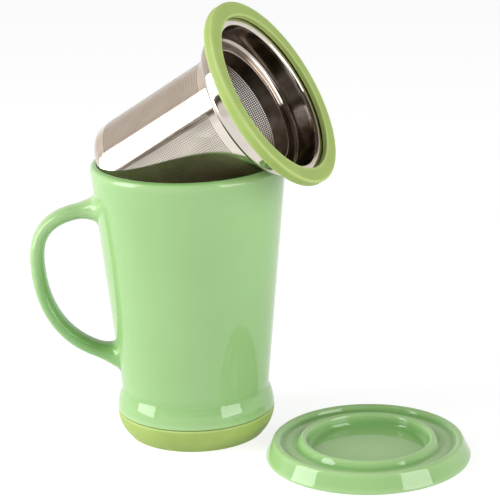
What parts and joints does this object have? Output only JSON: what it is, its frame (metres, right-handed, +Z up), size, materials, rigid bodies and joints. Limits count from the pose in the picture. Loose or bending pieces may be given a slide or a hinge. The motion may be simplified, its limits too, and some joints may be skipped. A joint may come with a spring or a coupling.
{
  "type": "lidded tea mug with infuser",
  "caption": "Tall tapered glazed mug with loop handle and soft boot, a steel infuser leaning in its mouth, and a loose dished lid beside it.",
  "frame": {"origin": "centre of the boot's underside, on the table", "axes": "+Z up along the mug's axis; -X towards the handle; the infuser leans and the lid lies towards +X and -Y"},
  "size_m": [0.1974, 0.1307, 0.2009],
  "materials": {
    "glaze": "glossy spring-green glaze",
    "silicone": "matte lime silicone",
    "polished_steel": "polished drawn steel",
    "sheet_steel": "fine perforated steel sheet"
  },
  "bodies": {
    "mug": {"mug_body": "glaze", "mug_handle": "glaze", "base_boot": "silicone"},
    "infuser": {"infuser_ring": "silicone", "infuser_collar": "polished_steel", "infuser_sleeve": "sheet_steel", "infuser_floor": "sheet_steel"},
    "lid": {"lid": "glaze"}
  },
  "joints": [
    {"name": "infuser_lift", "type": "slide", "parent": "mug", "child": "infuser", "axis": [0, 0, 1], "range_m": [0, 0.1]},
    {"name": "lid_lift", "type": "slide", "parent": "mug", "child": "lid", "axis": [0, 0, 1], "range_m": [0, 0.07]}
  ]
}
